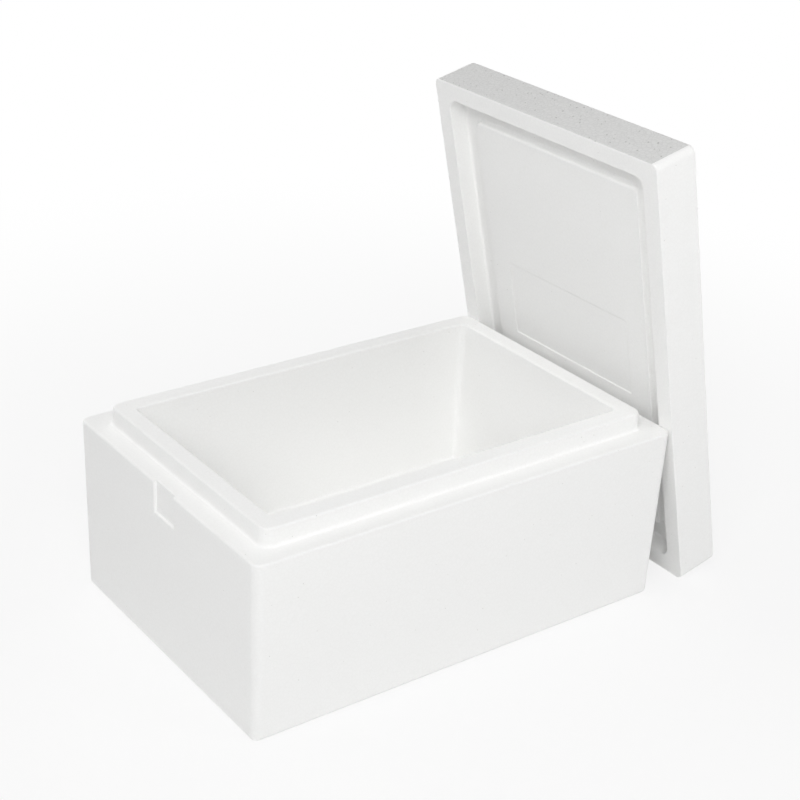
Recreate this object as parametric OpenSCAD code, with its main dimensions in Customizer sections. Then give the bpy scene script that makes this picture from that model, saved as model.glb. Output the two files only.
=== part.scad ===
// Insulated foam box with its lid taken off and leaning against one end.
// The box stands on Z = 0 with the centre of its base at the origin.
// Its long side runs along X. The lid stands at the +X end and leans over the box.

/* [Box] */
// Length of the box at its ledge
box_l = 400; // [300:1:600]
// Width of the box at its ledge
box_w = 267; // [200:1:400]
// Height of the ledge that the lid closes on
box_h = 154; // [100:1:300]
// Thickness of the side walls, from the outside to the mouth of the cavity
wall_t = 33.5; // [28:0.5:45]
// Thickness of the bottom
floor_t = 34; // [20:0.5:60]
// How far each outer wall leans in from the ledge to the base
wall_draft = 1.5; // [0:0.1:2]
// Radius of the upright outer corners
corner_r = 8; // [6:0.5:14]
// Rounding around the base
base_edge_r = 4; // [1:0.5:5]
// Rounding of the outer edge of the ledge
ledge_edge_r = 2; // [0.5:0.5:4]

/* [Lip and cavity] */
// Height of the lip above the ledge
lip_h = 15.2; // [8:0.1:24]
// Width of the ledge around the lip
ledge_w = 17.5; // [12:0.5:20]
// How far the lip leans in from the ledge to its top
lip_draft = 0.5; // [0:0.1:1]
// Radius of the lip's outer corners
lip_corner_r = 9; // [5:0.5:14]
// Rounding of the lip's top outer edge
lip_edge_r = 1.5; // [0.5:0.5:3]
// Radius of the cavity's upright corners at the mouth
cavity_corner_r = 5; // [4.5:0.5:10]
// How far each cavity wall leans in from the mouth to the bottom
cavity_draft = 2; // [0:0.5:3]
// Rounding around the bottom of the cavity
cavity_floor_r = 2.5; // [0.5:0.5:3]

/* [Finger notch] */
// Width of the notch in the end wall
notch_w = 28; // [15:1:50]
// Height of the notch, down from the ledge
notch_h = 26.5; // [10:0.5:50]
// Depth of the notch into the wall
notch_d = 2.5; // [1:0.5:10]
// Distance of the notch's middle from the middle of the end wall
notch_y = -3; // [-30:1:30]

/* [Lid] */
// Thickness of the lid, from the rim to the outer face
lid_t = 41; // [34:0.5:70]
// Radius of the lid's corners, seen from above
lid_corner_r = 6; // [5:0.5:14]
// Rounding around the lid's outer face
lid_edge_r = 4; // [1:0.5:5]
// Rounding of the rim that closes on the ledge
rim_edge_r = 1; // [0.2:0.1:2]
// Room between the lip and each wall of the groove that takes it
groove_side_gap = 1.5; // [0.5:0.1:3]
// Room between the top of the lip and the bottom of the groove
groove_top_gap = 1; // [0.5:0.1:3]
// How far the plug inside the groove stands out from the groove's bottom
plug_h = 5.5; // [2:0.5:8]
// How far each side of the groove leans from its mouth to its bottom
groove_draft = 0.5; // [0:0.1:1]
// Length of the sunk field in the plug's face, across the lid
field_w = 150; // [80:1:180]
// Height of the sunk field, along the lid
field_h = 73; // [40:1:180]
// Depth of the sunk field
field_d = 1; // [0.5:0.1:3]

/* [Lid standing against the box] */
// Angle between the lid and the upright
lean = 13.7; // [8:0.1:30]
// Gap between the lid's rim and the edge of the ledge that it leans on
lean_gap = 0.1; // [0:0.05:0.3]

/* [Hidden] */

foam_white = "#F4F4F3";
corner_steps = 32;
arc_steps = 5;
// Cuts run this far past a face, so that no skin is left on it
cut_over = 5;

lip_l = box_l - 2 * ledge_w;
lip_w = box_w - 2 * ledge_w;
cavity_l = box_l - 2 * wall_t;
cavity_w = box_w - 2 * wall_t;
cavity_h = box_h + lip_h - floor_t;

// The groove and the plug follow the lip and the cavity that they close on
groove_l = lip_l + 2 * groove_side_gap;
groove_w = lip_w + 2 * groove_side_gap;
groove_d = lip_h + groove_top_gap;
groove_corner_r = lip_corner_r + groove_side_gap;
plug_l = cavity_l - 2 * groove_side_gap;
plug_w = cavity_w - 2 * groove_side_gap;
plug_face_z = groove_d - plug_h;

// The lid stands on the edge of its rim, and its rim leans on the rounded edge of the ledge
foot_z = rim_edge_r * (1 - cos(lean) - sin(lean));
foot_x = box_l / 2 - ledge_edge_r + (box_h - ledge_edge_r - foot_z) * tan(lean)
    + (ledge_edge_r + lean_gap) / cos(lean);

// Points of a quarter circle of radius r about [x, z], from angle a on
function quarter_arc(x, z, r, a) =
    [for (i = [0 : arc_steps]) [x + r * cos(a + 90 * i / arc_steps), z + r * sin(a + 90 * i / arc_steps)]];

// Outline of a corner post: radius r_low at the bottom and r_high at the top, with rounded ends
function post_outline(h, r_low, r_high, edge_low, edge_high) = concat(
    [[0, 0]],
    quarter_arc(r_low - edge_low, edge_low, edge_low, -90),
    quarter_arc(r_high - edge_high, h - edge_high, edge_high, 0),
    [[0, h]]
);

// Block of l x w at its wider end, with upright corners of radius r there and rounded ends.
// Its sides lean in by draft_low towards the bottom or by draft_high towards the top.
module soft_block(l, w, h, r, edge_low, edge_high, draft_low = 0, draft_high = 0) {
    hull()
        for (x = [-1, 1], y = [-1, 1])
            translate([x * (l / 2 - r), y * (w / 2 - r), 0])
                rotate_extrude($fn = corner_steps)
                    polygon(post_outline(h, r - draft_low, r - draft_high, edge_low, edge_high));
}

// Shell of the box up to its ledge
module box_shell() {
    soft_block(box_l, box_w, box_h, corner_r, base_edge_r, ledge_edge_r, draft_low = wall_draft);
}

// Raised lip, rooted in the shell
module lip() {
    translate([0, 0, box_h - cut_over])
        soft_block(lip_l, lip_w, lip_h + cut_over, lip_corner_r, lip_edge_r, lip_edge_r, draft_high = lip_draft);
}

// Space inside the box, open at the top of the lip
module cavity() {
    translate([0, 0, floor_t])
        soft_block(cavity_l, cavity_w, cavity_h + cut_over, cavity_corner_r, cavity_floor_r, 0,
            draft_low = cavity_draft);
}

// Shallow notch under the ledge, in the middle of the -X end
module finger_notch() {
    translate([-box_l / 2 - cut_over, notch_y - notch_w / 2, box_h - notch_h])
        cube([notch_d + cut_over, notch_w, notch_h + cut_over]);
}

// Box: one moulding with its lip
module box_body() {
    color(foam_white)
        difference() {
            union() {
                box_shell();
                lip();
            }
            cavity();
            finger_notch();
        }
}

// Recess in the lid's underside that takes the lip, without the plug in its middle
module groove() {
    difference() {
        translate([0, 0, -cut_over])
            soft_block(groove_l, groove_w, groove_d + cut_over, groove_corner_r, 0, rim_edge_r,
                draft_high = groove_draft);
        plug();
    }
}

// Raised middle of the lid's underside, which drops into the mouth of the cavity
module plug() {
    translate([0, 0, plug_face_z])
        soft_block(plug_l, plug_w, plug_h + cut_over, cavity_corner_r, rim_edge_r, 0, draft_low = groove_draft);
}

// Sunk field in the middle of the plug's face
module sunk_field() {
    translate([-field_h / 2, -field_w / 2, plug_face_z - cut_over])
        cube([field_h, field_w, cut_over + field_d]);
}

// Lid as it closes, with its rim on Z = 0 and its outer face up
module lid_closed() {
    difference() {
        soft_block(box_l, box_w, lid_t, lid_corner_r, rim_edge_r, lid_edge_r);
        groove();
        sunk_field();
    }
}

// Lid: one moulding, stood on one end with its underside to the box
module lid() {
    color(foam_white)
        translate([foot_x, 0, foot_z])
            rotate([0, 90 - lean, 0])
                translate([-box_l / 2, 0, 0])
                    lid_closed();
}

box_body();
lid();
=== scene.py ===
"""Looks of the insulated foam box and of its lid, which leans on one end of it.

Both pieces are moulded from expanded polystyrene beads. Lengths in the classes are millimetres in the
part's own frame, where Z = 0 is the surface that the box stands on, and meshes are made in metres.
"""

import logging
import math
from dataclasses import dataclass, field, replace
from enum import Enum
from typing import Any, Iterable

import bmesh
import bpy
from bmesh.types import BMEdge, BMesh, BMFace, BMVert
from mathutils import Matrix, Vector


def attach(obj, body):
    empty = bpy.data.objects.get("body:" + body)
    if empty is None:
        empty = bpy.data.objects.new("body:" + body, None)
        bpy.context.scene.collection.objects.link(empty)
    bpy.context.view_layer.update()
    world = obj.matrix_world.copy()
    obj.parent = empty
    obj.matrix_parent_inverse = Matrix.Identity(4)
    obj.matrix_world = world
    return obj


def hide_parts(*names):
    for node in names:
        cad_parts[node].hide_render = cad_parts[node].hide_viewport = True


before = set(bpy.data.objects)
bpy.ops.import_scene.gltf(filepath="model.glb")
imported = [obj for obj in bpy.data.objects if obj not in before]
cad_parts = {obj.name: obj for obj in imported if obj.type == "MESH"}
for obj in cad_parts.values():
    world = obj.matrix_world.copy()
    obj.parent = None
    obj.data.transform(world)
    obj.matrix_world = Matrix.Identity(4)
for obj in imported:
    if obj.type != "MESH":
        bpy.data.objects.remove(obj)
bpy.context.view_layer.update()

LOG = logging.getLogger("foam_box")
MM = 0.001
IMAGE_SIDE = 800
ROUNDING_SEGMENTS = 6
SHARP_ANGLE = math.radians(20)
# Metres: a cut snaps to corners nearer than CUT_SNAP, and corners nearer than WELD are joined
CUT_SNAP = 1e-7
WELD = 1e-5


class FoamSlot(Enum):
    """The record's material slots."""

    BOX = "box_foam"
    LID = "lid_foam"


class Crease(Enum):
    """How far an edge of the mouldings is rounded, in millimetres."""

    BASE = 4.0
    LEDGE = 2.0
    LIP = 1.8
    MOUTH = 1.9
    SEAT = 2.6
    FLOOR = 2.5
    NOTCH = 2.1
    NOTCH_BACK = 0.35
    LID_FACE = 4.0
    RIM = 1.0
    PLUG_FOOT = 2.2
    PLUG = 2.3
    FIELD = 0.3


WIDEST_CREASE = max(crease.value for crease in Crease)


def linear(hex_colour: str) -> tuple[float, float, float, float]:
    """Turn an sRGB hex colour into linear RGBA.

    Args:
        hex_colour: Six hex digits, with or without a leading hash.

    Returns:
        The linear red, green, blue and an alpha of one.
    """
    digits = hex_colour.lstrip("#")
    shares = [int(digits[i:i + 2], 16) / 255 for i in (0, 2, 4)]
    red, green, blue = (s / 12.92 if s <= 0.04045 else ((s + 0.055) / 1.055) ** 2.4 for s in shares)
    return red, green, blue, 1.0


def add_node(tree: bpy.types.NodeTree, kind: str, inputs: dict[Any, Any], **settings: Any) -> bpy.types.Node:
    """Add a node with its settings, values and links.

    Args:
        tree: The node tree that takes the node.
        kind: The node's type name.
        inputs: Value or output socket for each input, by the input's name or number.
        **settings: The node's own properties.

    Returns:
        The new node.
    """
    node = tree.nodes.new(kind)
    for name, value in settings.items():
        setattr(node, name, value)
    for name, value in inputs.items():
        if isinstance(value, bpy.types.NodeSocket):
            tree.links.new(value, node.inputs[name])
        else:
            node.inputs[name].default_value = value
    return node


@dataclass(frozen=True)
class MouldedFoam:
    """Expanded polystyrene, steam-moulded from beads: very white matt flats, which light up the hollows
    between them, and a slight swell that keeps them from looking machined. Faint lines show where the
    pressed beads meet, and here and there a pinhole shows where they left a gap, coloured darker as painted
    shade inside it. Beads are at their real size. The lines between them are drawn wider than real ones, so
    that they show at all."""

    name: str
    bead_hex: str = "FCFCFB"
    dull_bead_hex: str = "FBFBFA"
    seam_hex: str = "F9F9F8"
    # Painted shade: the pinhole colour is the shade inside each pit.
    pinhole_shade_hex: str = "DCDCDA"
    bead_mm: float = 3.6
    seam_mm: float = 0.5
    pinhole_mm: float = 0.6
    pinhole_spacing_mm: float = 9.0
    pinhole_share: float = 0.35
    pinhole_floor: float = 0.3
    swell_mm: float = 60.0
    swell_rise_mm: float = 0.35
    bead_rise_mm: float = 0.015
    pinhole_depth_mm: float = 0.25
    roughness: float = 0.62
    ior: float = 1.5

    def material(self) -> bpy.types.Material:
        """Make the foam's material.

        Returns:
            The new material.
        """
        material = bpy.data.materials.new(self.name)
        material.use_nodes = True
        tree = material.node_tree
        tree.nodes.clear()
        place = add_node(tree, "ShaderNodeTexCoord", {}).outputs["Object"]
        bead_scale = 1 / (self.bead_mm * MM)
        bead = add_node(tree, "ShaderNodeTexVoronoi", {"Vector": place, "Scale": bead_scale}, feature="F1")
        border = add_node(
            tree, "ShaderNodeTexVoronoi", {"Vector": place, "Scale": bead_scale}, feature="DISTANCE_TO_EDGE"
        )
        flat = add_node(
            tree,
            "ShaderNodeMapRange",
            {"Value": border.outputs["Distance"], "From Max": self.seam_mm / self.bead_mm},
            interpolation_type="SMOOTHSTEP",
        )
        pit = add_node(
            tree,
            "ShaderNodeTexVoronoi",
            {"Vector": place, "Scale": 1 / (self.pinhole_spacing_mm * MM)},
            feature="F1",
        )
        beside_pit = add_node(
            tree,
            "ShaderNodeMapRange",
            {
                "Value": pit.outputs["Distance"],
                "From Min": self.pinhole_floor * self.pinhole_mm / self.pinhole_spacing_mm,
                "From Max": self.pinhole_mm / self.pinhole_spacing_mm,
            },
            interpolation_type="SMOOTHSTEP",
        )
        without_pit = add_node(
            tree, "ShaderNodeMath", {0: pit.outputs["Color"], 1: self.pinhole_share}, operation="GREATER_THAN"
        )
        unpitted = add_node(
            tree,
            "ShaderNodeMath",
            {0: beside_pit.outputs["Result"], 1: without_pit.outputs[0]},
            operation="MAXIMUM",
        )
        bead_tone = add_node(
            tree,
            "ShaderNodeMix",
            {0: bead.outputs["Color"], 6: linear(self.dull_bead_hex), 7: linear(self.bead_hex)},
            data_type="RGBA",
        )
        seamed = add_node(
            tree,
            "ShaderNodeMix",
            {0: flat.outputs["Result"], 6: linear(self.seam_hex), 7: bead_tone.outputs[2]},
            data_type="RGBA",
        )
        # Pinholes take the pinhole colour, which is painted shade inside each pit.
        tone = add_node(
            tree,
            "ShaderNodeMix",
            {0: unpitted.outputs[0], 6: linear(self.pinhole_shade_hex), 7: seamed.outputs[2]},
            data_type="RGBA",
        )
        swell = add_node(
            tree, "ShaderNodeTexNoise", {"Vector": place, "Scale": 1 / (self.swell_mm * MM), "Detail": 1.0}
        )
        bead_rise = add_node(
            tree,
            "ShaderNodeMath",
            {0: flat.outputs["Result"], 1: self.bead_rise_mm},
            operation="MULTIPLY",
        )
        beads_on_swell = add_node(
            tree,
            "ShaderNodeMath",
            {0: swell.outputs["Fac"], 1: self.swell_rise_mm, 2: bead_rise.outputs[0]},
            operation="MULTIPLY_ADD",
        )
        relief = add_node(
            tree,
            "ShaderNodeMath",
            {0: unpitted.outputs[0], 1: self.pinhole_depth_mm, 2: beads_on_swell.outputs[0]},
            operation="MULTIPLY_ADD",
        )
        bump = add_node(
            tree, "ShaderNodeBump", {"Strength": 1.0, "Distance": MM, "Height": relief.outputs[0]}
        )
        shader = add_node(
            tree,
            "ShaderNodeBsdfPrincipled",
            {
                "Base Color": tone.outputs[2],
                "Roughness": self.roughness,
                "IOR": self.ior,
                "Normal": bump.outputs["Normal"],
            },
        )
        add_node(tree, "ShaderNodeOutputMaterial", {"Surface": shader.outputs["BSDF"]})
        return material


@dataclass(frozen=True)
class Turn:
    """A level rectangle with round corners, at which the section of a moulding turns. Lengths are
    millimetres."""

    length: float
    width: float
    radius: float
    height: float
    crease: Crease | None = None

    def draw(self, bm: BMesh, height: float, segments: int) -> list[BMEdge]:
        """Add the rectangle to a mesh, centred on the Z axis.

        Args:
            bm: The mesh that takes it.
            height: Where it is drawn along Z, in millimetres.
            segments: Edges along each round corner.

        Returns:
            The loop's edges.
        """
        size = Matrix.Diagonal((self.length * MM, self.width * MM, 1.0, 1.0))
        place = Matrix.Translation((0.0, 0.0, height * MM))
        made = bmesh.ops.create_grid(bm, x_segments=1, y_segments=1, size=0.5, matrix=place @ size)
        rounded = bmesh.ops.bevel(
            bm,
            geom=made["verts"],
            offset=self.radius * MM,
            offset_type="OFFSET",
            segments=segments,
            profile=0.5,
            affect="VERTICES",
            material=-1,
        )
        face = rounded["verts"][0].link_faces[0]
        edges = list(face.edges)
        bmesh.ops.delete(bm, geom=[face], context="FACES_ONLY")
        return edges


def loft(bm: BMesh, turns: Iterable[Turn], segments: int) -> None:
    """Build the closed surface that runs through a row of turns, with a flat face at each end.

    The loops are bridged while they stand a spread apart, and then moved to their heights, because two
    loops at one height can be joined the wrong way round.

    Args:
        bm: The empty mesh of a moulding.
        turns: The turns, from one end of the surface to the other.
        segments: Edges along each round corner.
    """
    spread = 100.0
    loops = []
    for number, turn in enumerate(turns):
        loop = turn.draw(bm, number * spread, segments)
        if turn.crease:
            mark(bm, loop, turn.crease)
        loops.append((turn, number * spread, loop))
    for (_, _, first), (_, _, second) in zip(loops, loops[1:]):
        bmesh.ops.bridge_loops(bm, edges=first + second)
    for turn, drawn, loop in loops:
        corners = list({vert for edge in loop for vert in edge.verts})
        bmesh.ops.translate(bm, verts=corners, vec=(0.0, 0.0, (turn.height - drawn) * MM))
    for end in (loops[0], loops[-1]):
        bmesh.ops.contextual_create(bm, geom=end[2])


def new_moulding() -> BMesh:
    """Start a mesh whose edges can carry a rounding.

    Returns:
        The empty mesh.
    """
    bm = bmesh.new()
    bm.edges.layers.float.new("bevel_weight_edge")
    return bm


def mark(bm: BMesh, edges: Iterable[BMEdge], crease: Crease) -> None:
    """Give edges the weight with which the bevel rounds them.

    Args:
        bm: The mesh that holds the edges.
        edges: The edges to round.
        crease: The rounding that they get.
    """
    layer = bm.edges.layers.float["bevel_weight_edge"]
    for edge in edges:
        edge[layer] = crease.value / WIDEST_CREASE


def finish_moulding(
    bm: BMesh, name: str, node: str, foams: Iterable[MouldedFoam]
) -> bpy.types.Object:
    """Turn a mesh into a moulding that stands for its CAD node.

    Args:
        bm: The closed mesh, in metres and in the part's frame. It is freed.
        name: The piece's name.
        node: The CAD node that it replaces.
        foams: Its finishes, in the order of the faces' material numbers.

    Returns:
        The new object.
    """
    bmesh.ops.recalc_face_normals(bm, faces=bm.faces)
    for face in bm.faces:
        face.smooth = True
    mesh = bpy.data.meshes.new(name)
    bm.to_mesh(mesh)
    bm.free()
    for foam in foams:
        mesh.materials.append(foam.material())
    piece = bpy.data.objects.new(name, mesh)
    bpy.context.scene.collection.objects.link(piece)
    rounding = piece.modifiers.new("rounding", "BEVEL")
    rounding.limit_method = "WEIGHT"
    rounding.width = WIDEST_CREASE * MM
    rounding.segments = ROUNDING_SEGMENTS
    rounding.profile = 0.5
    rounding.use_clamp_overlap = False
    flats = piece.modifiers.new("flats", "WEIGHTED_NORMAL")
    flats.keep_sharp = True
    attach(piece, "root")
    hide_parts(node)
    return piece


@dataclass
class Box:
    """The box, one moulding with a raised lip round its mouth. The margin is the room that the search for
    its faces and edges leaves, and is no part of its shape."""

    length: float = 400.0
    width: float = 267.0
    height: float = 154.0
    draft: float = 1.5
    corner: float = 8.0
    ledge: float = 17.5
    lip_height: float = 15.2
    lip_draft: float = 0.5
    lip_corner: float = 9.0
    wall: float = 33.5
    bottom: float = 34.0
    cavity_corner: float = 5.0
    cavity_draft: float = 2.0
    notch_width: float = 28.0
    notch_height: float = 26.5
    notch_depth: float = 2.5
    notch_middle: float = -3.0
    corner_segments: int = 12
    margin: float = 1.0
    foam: MouldedFoam = field(default_factory=lambda: MouldedFoam("moulded_eps_box"))

    def turns(self) -> tuple[Turn, ...]:
        """The turns of the section, from the base over the lip to the bottom of the cavity."""
        top = self.height + self.lip_height
        base = 2 * self.draft
        lip_l = self.length - 2 * self.ledge
        lip_w = self.width - 2 * self.ledge
        lip_in = 2 * self.lip_draft
        mouth_l = self.length - 2 * self.wall
        mouth_w = self.width - 2 * self.wall
        mouth_r = self.cavity_corner
        floor_in = 2 * self.cavity_draft
        floor_l = mouth_l - floor_in
        floor_w = mouth_w - floor_in
        return (
            Turn(self.length - base, self.width - base, self.corner - self.draft, 0.0, Crease.BASE),
            Turn(self.length, self.width, self.corner, self.height),
            Turn(lip_l, lip_w, self.lip_corner, self.height, Crease.SEAT),
            Turn(lip_l - lip_in, lip_w - lip_in, self.lip_corner - self.lip_draft, top, Crease.LIP),
            Turn(mouth_l, mouth_w, mouth_r, top, Crease.MOUTH),
            Turn(floor_l, floor_w, mouth_r - self.cavity_draft, self.bottom, Crease.FLOOR),
        )

    def end_faces(self, bm: BMesh, y_from: float, y_to: float, z_from: float, x_to: float) -> list[BMFace]:
        """Find the faces of the -X end, and of the ledge over it, whose middle lies in a range.

        Args:
            bm: The moulding's mesh.
            y_from: Lowest Y, in millimetres.
            y_to: Highest Y.
            z_from: Lowest Z.
            x_to: Highest X.

        Returns:
            The faces.
        """
        z_to = self.height + self.margin
        found = []
        for face in bm.faces:
            middle = face.calc_center_median() / MM
            if middle.x < x_to and y_from < middle.y < y_to and z_from < middle.z < z_to:
                found.append(face)
        return found

    def cut_notch(self, bm: BMesh) -> None:
        """Sink the finger notch into the -X end, under the ledge.

        Args:
            bm: The moulding's mesh, before its edges are rounded.
        """
        end = -self.length / 2
        inner = end + self.notch_depth
        low = self.height - self.notch_height
        y_low = self.notch_middle - self.notch_width / 2
        y_high = self.notch_middle + self.notch_width / 2
        straight = self.width / 2 - self.wall
        ledge_in = end + self.ledge - self.margin
        cuts = (
            ((0.0, y_low, 0.0), (0.0, 1.0, 0.0), -straight, straight),
            ((0.0, y_high, 0.0), (0.0, 1.0, 0.0), -straight, straight),
            ((0.0, 0.0, low), (0.0, 0.0, 1.0), y_low, y_high),
            ((inner, 0.0, 0.0), (1.0, 0.0, 0.0), y_low, y_high),
        )
        for point, normal, y_from, y_to in cuts:
            faces = self.end_faces(bm, y_from, y_to, self.margin, ledge_in)
            around = {item for face in faces for item in (face, *face.edges, *face.verts)}
            bmesh.ops.bisect_plane(
                bm, geom=list(around), dist=CUT_SNAP, plane_co=Vector(point) * MM, plane_no=Vector(normal)
            )
        inside = self.end_faces(bm, y_low, y_high, low, inner)
        rim = {e for face in inside for e in face.edges if any(f not in inside for f in e.link_faces)}
        level = self.height * MM - WELD
        sides = [e for e in rim if min(v.co.z for v in e.verts) < level]
        bmesh.ops.delete(bm, geom=inside, context="FACES")
        grown = bmesh.ops.extrude_edge_only(bm, edges=sides)["geom"]
        moved = {item for item in grown if isinstance(item, BMVert)}
        for vert in moved:
            vert.co.x = inner * MM
        back = [e for e in grown if isinstance(e, BMEdge) and all(v in moved for v in e.verts)]
        bmesh.ops.remove_doubles(bm, verts=bm.verts, dist=WELD)
        back = {e for e in back if e.is_valid}
        back.update(e for e in bm.edges if e.is_boundary)
        bmesh.ops.contextual_create(bm, geom=list(back))

    def mark_ledge(self, bm: BMesh) -> None:
        """Mark the ledge's outer edge and the notch's own edges for rounding.

        Args:
            bm: The moulding's mesh with its notch.
        """
        slack = 0.1
        notch_to = -self.length / 2 + self.notch_depth + slack
        low = self.height - self.notch_height - slack
        half = self.notch_width / 2 + slack
        lip_x = self.length / 2 - self.ledge + self.margin
        lip_y = self.width / 2 - self.ledge + self.margin
        for edge in bm.edges:
            ends = [vert.co / MM for vert in edge.verts]
            sharp = edge.calc_face_angle(0.0) > SHARP_ANGLE
            in_notch = all(p.x < notch_to and abs(p.y - self.notch_middle) < half and p.z > low for p in ends)
            on_ledge = all(
                abs(p.z - self.height) < slack and (abs(p.x) > lip_x or abs(p.y) > lip_y) for p in ends
            )
            if sharp and in_notch:
                at_rim = all(p.x < -self.length / 2 + self.notch_depth / 2 for p in ends)
                mark(bm, [edge], Crease.NOTCH if at_rim else Crease.NOTCH_BACK)
            elif sharp and on_ledge:
                mark(bm, [edge], Crease.LEDGE)

    def build(self) -> bpy.types.Object:
        """Make the box.

        Returns:
            The finished piece.
        """
        bm = new_moulding()
        loft(bm, self.turns(), self.corner_segments)
        self.cut_notch(bm)
        self.mark_ledge(bm)
        return finish_moulding(bm, "foam_box", "box_body", (self.foam,))


@dataclass
class Lid:
    """The lid, one moulding with a groove for the box's lip, stood on one end against the box. Its ends are
    coloured darker than its faces, as painted shade that makes the top end look shaded, and they are coarser,
    with open pits. A face that lies within the end skin of an end belongs to that end."""

    box: Box
    thickness: float = 41.0
    corner: float = 6.0
    side_gap: float = 1.5
    top_gap: float = 1.0
    groove_draft: float = 0.5
    plug_height: float = 5.5
    field_across: float = 150.0
    field_along: float = 73.0
    field_depth: float = 0.6
    field_corner: float = 2.0
    field_slope: float = 1.3
    end_skin: float = 0.1
    lean: float = 13.7
    lean_gap: float = 0.1
    foam: MouldedFoam = field(default_factory=lambda: MouldedFoam("moulded_eps_lid"))
    # Painted shade: the ends' foam colours are darker than the faces' so that the top end looks shaded. The
    # deeper pits and coarser beads are relief.
    painted_shade_end_foam: MouldedFoam = field(
        default_factory=lambda: MouldedFoam(
            "moulded_eps_lid_ends_painted_shade",
            bead_hex="E2E2E1",
            dull_bead_hex="DEDEDD",
            seam_hex="D8D8D7",
            pinhole_shade_hex="B4B4B2",
            pinhole_mm=0.9,
            pinhole_spacing_mm=4.2,
            pinhole_share=0.5,
            bead_rise_mm=0.06,
            pinhole_depth_mm=0.4,
        )
    )

    def turns(self) -> tuple[Turn, ...]:
        """The turns of the closed lid's section, from its outer face over the rim to the sunk field."""
        box = self.box
        groove_l = box.length - 2 * box.ledge + 2 * self.side_gap
        groove_w = box.width - 2 * box.ledge + 2 * self.side_gap
        groove_r = box.lip_corner + self.side_gap
        groove_d = box.lip_height + self.top_gap
        plug_l = box.length - 2 * box.wall - 2 * self.side_gap
        plug_w = box.width - 2 * box.wall - 2 * self.side_gap
        plug_r = box.cavity_corner
        face = groove_d - self.plug_height
        lean_in = self.groove_draft
        sunk = Turn(self.field_along, self.field_across, self.field_corner, face, Crease.FIELD)
        return (
            Turn(box.length, box.width, self.corner, self.thickness, Crease.LID_FACE),
            Turn(box.length, box.width, self.corner, 0.0, Crease.RIM),
            Turn(groove_l, groove_w, groove_r, 0.0, Crease.RIM),
            Turn(groove_l - 2 * lean_in, groove_w - 2 * lean_in, groove_r - lean_in, groove_d, Crease.SEAT),
            Turn(plug_l, plug_w, plug_r, groove_d, Crease.PLUG_FOOT),
            Turn(plug_l - 2 * lean_in, plug_w - 2 * lean_in, plug_r - lean_in, face, Crease.PLUG),
            sunk,
            replace(
                sunk,
                length=sunk.length - 2 * self.field_slope,
                width=sunk.width - 2 * self.field_slope,
                height=face + self.field_depth,
            ),
        )

    def stand(self) -> Matrix:
        """Where the closed lid goes when it stands on its end and leans on the ledge.

        Returns:
            The matrix, in metres.
        """
        box = self.box
        lean = math.radians(self.lean)
        rim = Crease.RIM.value
        edge = Crease.LEDGE.value
        foot_z = rim * (1 - math.cos(lean) - math.sin(lean))
        run = (box.height - edge - foot_z) * math.tan(lean)
        foot_x = box.length / 2 - edge + run + (edge + self.lean_gap) / math.cos(lean)
        on_end = Matrix.Translation((-box.length / 2 * MM, 0.0, 0.0))
        tilt = Matrix.Rotation(math.radians(90) - lean, 4, "Y")
        return Matrix.Translation((foot_x * MM, 0.0, foot_z * MM)) @ tilt @ on_end

    def build(self) -> bpy.types.Object:
        """Make the lid.

        Returns:
            The finished piece.
        """
        bm = new_moulding()
        loft(bm, self.turns(), self.box.corner_segments)
        # The end faces take the darker end foam, which is painted shade.
        end = (self.box.length / 2 - self.end_skin) * MM
        for face in bm.faces:
            if abs(face.calc_center_median().x) > end:
                face.material_index = 1
        bmesh.ops.transform(bm, matrix=self.stand(), verts=bm.verts)
        return finish_moulding(bm, "foam_lid", "lid", (self.foam, self.painted_shade_end_foam))


@dataclass
class Camera:
    """The photograph's view. Angles are degrees, lengths millimetres, and clipping distances metres."""

    azimuth: float = -35.673
    elevation: float = 27.865
    roll: float = 2.241
    distance: float = 1446.07
    target: tuple[float, float, float] = (8.99, 63.28, 100.05)
    focal_px: float = 1693.0
    shift_px: tuple[float, float] = (60.0, 50.0)
    sensor: float = 36.0
    clip_start: float = 0.05
    clip_end: float = 50.0

    def build(self) -> bpy.types.Object:
        """Make the scene's camera.

        Returns:
            The camera object.
        """
        azimuth = math.radians(self.azimuth)
        elevation = math.radians(self.elevation)
        back = Vector((
            math.sin(azimuth) * math.cos(elevation),
            -math.cos(azimuth) * math.cos(elevation),
            math.sin(elevation),
        ))
        data = bpy.data.cameras.new("camera")
        data.sensor_width = self.sensor
        data.lens = self.focal_px / IMAGE_SIDE * self.sensor
        data.shift_x, data.shift_y = (pixels / IMAGE_SIDE for pixels in self.shift_px)
        data.clip_start = self.clip_start
        data.clip_end = self.clip_end
        camera = bpy.data.objects.new("camera", data)
        bpy.context.scene.collection.objects.link(camera)
        turn = (-back).to_track_quat("-Z", "Y").to_matrix().to_4x4()
        roll = Matrix.Rotation(math.radians(self.roll), 4, "Z")
        place = (Vector(self.target) + back * self.distance) * MM
        camera.matrix_world = Matrix.Translation(place) @ turn @ roll
        bpy.context.scene.camera = camera
        return camera


@dataclass
class SoftBox:
    """A rectangular soft lamp that looks at the object, and that the camera doesn't see. Lengths are
    metres."""

    name: str
    place: tuple[float, float, float]
    aim: tuple[float, float, float]
    width: float
    height: float
    watts: float

    def build(self) -> bpy.types.Object:
        """Make the lamp.

        Returns:
            The lamp object.
        """
        data = bpy.data.lights.new(self.name, "AREA")
        data.shape = "RECTANGLE"
        data.size = self.width
        data.size_y = self.height
        data.energy = self.watts
        lamp = bpy.data.objects.new(self.name, data)
        bpy.context.scene.collection.objects.link(lamp)
        look = (Vector(self.aim) - Vector(self.place)).to_track_quat("-Z", "Y").to_matrix().to_4x4()
        lamp.matrix_world = Matrix.Translation(self.place) @ look
        lamp.visible_camera = False
        return lamp


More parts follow.
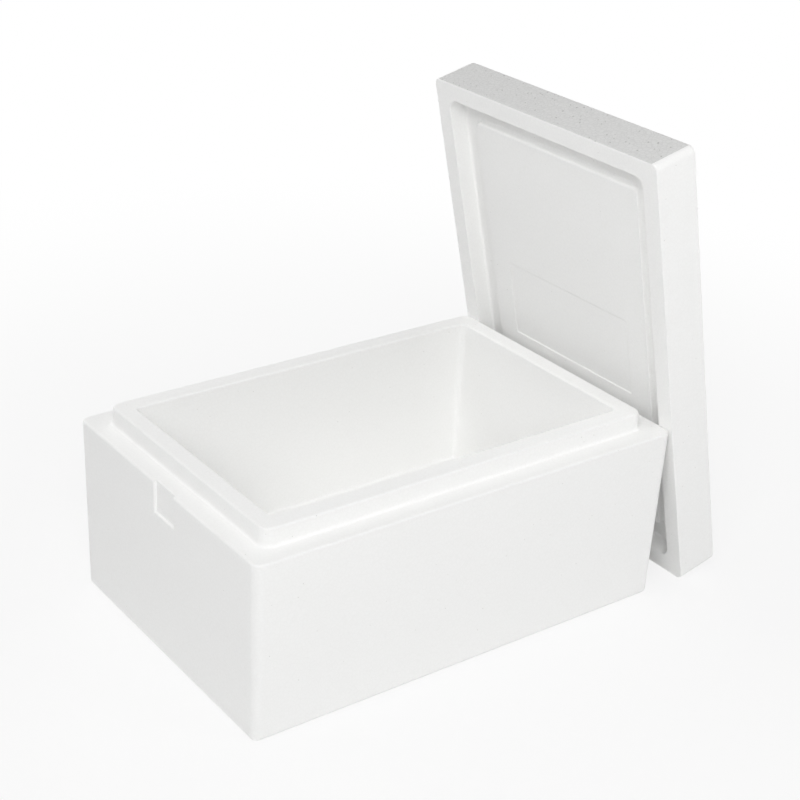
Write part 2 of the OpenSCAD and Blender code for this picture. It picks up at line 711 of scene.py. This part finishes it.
def seen_directly(tree: bpy.types.NodeTree) -> bpy.types.NodeSocket:
    """Tell the rays by which the camera sees a thing, also in a reflection or through glass, from light.

    Args:
        tree: The node tree that takes the nodes.

    Returns:
        A socket that is 1 on such a ray and 0 on others.
    """
    rays = add_node(tree, "ShaderNodeLightPath", {})
    seen = rays.outputs["Is Camera Ray"]
    for kind in ("Is Glossy Ray", "Is Transmission Ray"):
        either = add_node(tree, "ShaderNodeMath", {0: seen, 1: rays.outputs[kind]}, operation="MAXIMUM")
        seen = either.outputs[0]
    return seen


@dataclass
class Studio:
    """A plain white paper floor, soft lamps and even light from all round, with a white background."""

    floor_hex: str = "F2F2F2"
    floor_side: float = 12.0
    floor_drop: float = 0.0002
    near_glow: float = 0.78
    glow_from: float = 0.3
    glow_to: float = 1.1
    world_strength: float = 0.1
    lamps: tuple[SoftBox, ...] = (
        SoftBox("front_lamp", (-0.595, -1.083, 1.05), (0.03, 0.0, 0.25), 0.62, 0.5, 2.2),
        SoftBox("right_lamp", (0.655, -1.083, 1.05), (0.03, 0.0, 0.25), 0.62, 0.5, 2.9),
        SoftBox("back_lamp", (0.03, 1.25, 0.59), (0.03, 0.0, 0.25), 0.62, 0.42, 2.0),
        SoftBox("top_lamp", (0.03, 0.0, 1.4), (0.03, 0.0, 0.0), 1.2, 1.2, 2.6),
        SoftBox("left_panel", (-1.384, -1.414, 1.6), (0.03, 0.0, 0.2), 1.6, 1.2, 28.2),
        SoftBox("left_back_panel", (-1.384, 1.414, 1.6), (0.03, 0.0, 0.2), 1.6, 1.2, 10.6),
        SoftBox("back_panel", (0.03, 2.0, 0.51), (0.03, 0.0, 0.51), 1.6, 0.98, 7.3),
        SoftBox("right_panel", (1.444, -1.414, 0.51), (0.03, 0.0, 0.51), 1.6, 0.98, 4.0),
        SoftBox("lid_panel", (2.03, 0.0, 0.51), (0.03, 0.0, 0.51), 1.6, 0.98, 9.0),
    )

    def floor_material(self) -> bpy.types.Material:
        """Matt white paper. The camera sees it as the white background with the object's soft shadow: part
        of what it sees is white from the start, and all of it further away, where no shadow falls.

        Returns:
            The new material.
        """
        material = bpy.data.materials.new("matt_white_paper")
        material.use_nodes = True
        tree = material.node_tree
        tree.nodes.clear()
        paper = add_node(tree, "ShaderNodeBsdfDiffuse", {"Color": linear(self.floor_hex)})
        glow = add_node(tree, "ShaderNodeEmission", {"Color": linear("FFFFFF"), "Strength": 1.0})
        place = add_node(tree, "ShaderNodeTexCoord", {}).outputs["Object"]
        reach = add_node(tree, "ShaderNodeVectorMath", {0: place}, operation="LENGTH")
        share = add_node(
            tree,
            "ShaderNodeMapRange",
            {
                "Value": reach.outputs["Value"],
                "From Min": self.glow_from,
                "From Max": self.glow_to,
                "To Min": self.near_glow,
            },
            interpolation_type="SMOOTHSTEP",
        )
        washed = add_node(
            tree,
            "ShaderNodeMixShader",
            {0: share.outputs["Result"], 1: paper.outputs["BSDF"], 2: glow.outputs["Emission"]},
        )
        surface = add_node(
            tree,
            "ShaderNodeMixShader",
            {0: seen_directly(tree), 1: paper.outputs["BSDF"], 2: washed.outputs["Shader"]},
        )
        add_node(tree, "ShaderNodeOutputMaterial", {"Surface": surface.outputs["Shader"]})
        return material

    def build_floor(self) -> bpy.types.Object:
        """Lay the floor.

        Returns:
            The floor object.
        """
        bm = bmesh.new()
        place = Matrix.Translation((0.0, 0.0, -self.floor_drop))
        bmesh.ops.create_grid(bm, x_segments=1, y_segments=1, size=self.floor_side / 2, matrix=place)
        mesh = bpy.data.meshes.new("floor")
        bm.to_mesh(mesh)
        bm.free()
        mesh.materials.append(self.floor_material())
        floor = bpy.data.objects.new("floor", mesh)
        bpy.context.scene.collection.objects.link(floor)
        return floor

    def build_world(self) -> bpy.types.World:
        """Surround the scene with even light, which the camera sees as white.

        Returns:
            The new world.
        """
        world = bpy.data.worlds.new("studio")
        world.use_nodes = True
        tree = world.node_tree
        tree.nodes.clear()
        colour = linear("FFFFFF")
        even = add_node(tree, "ShaderNodeBackground", {"Color": colour, "Strength": self.world_strength})
        white = add_node(tree, "ShaderNodeBackground", {"Color": colour, "Strength": 1.0})
        sky = add_node(
            tree,
            "ShaderNodeMixShader",
            {0: seen_directly(tree), 1: even.outputs["Background"], 2: white.outputs["Background"]},
        )
        add_node(tree, "ShaderNodeOutputWorld", {"Surface": sky.outputs["Shader"]})
        bpy.context.scene.world = world
        return world

    def build(self) -> None:
        """Make the floor, the world and the lamps."""
        self.build_floor()
        self.build_world()
        for lamp in self.lamps:
            lamp.build()


def main() -> None:
    """Build the pieces in order, light them and report each one."""
    logging.basicConfig(level=logging.INFO, format="%(message)s")
    bpy.context.scene.view_settings.view_transform = "Standard"
    box = Box()
    for piece in (box.build(), Lid(box).build()):
        LOG.info("%s: %d corners before rounding", piece.name, len(piece.data.vertices))
    Studio().build()
    Camera().build()


if __name__ == "__main__":
    main()
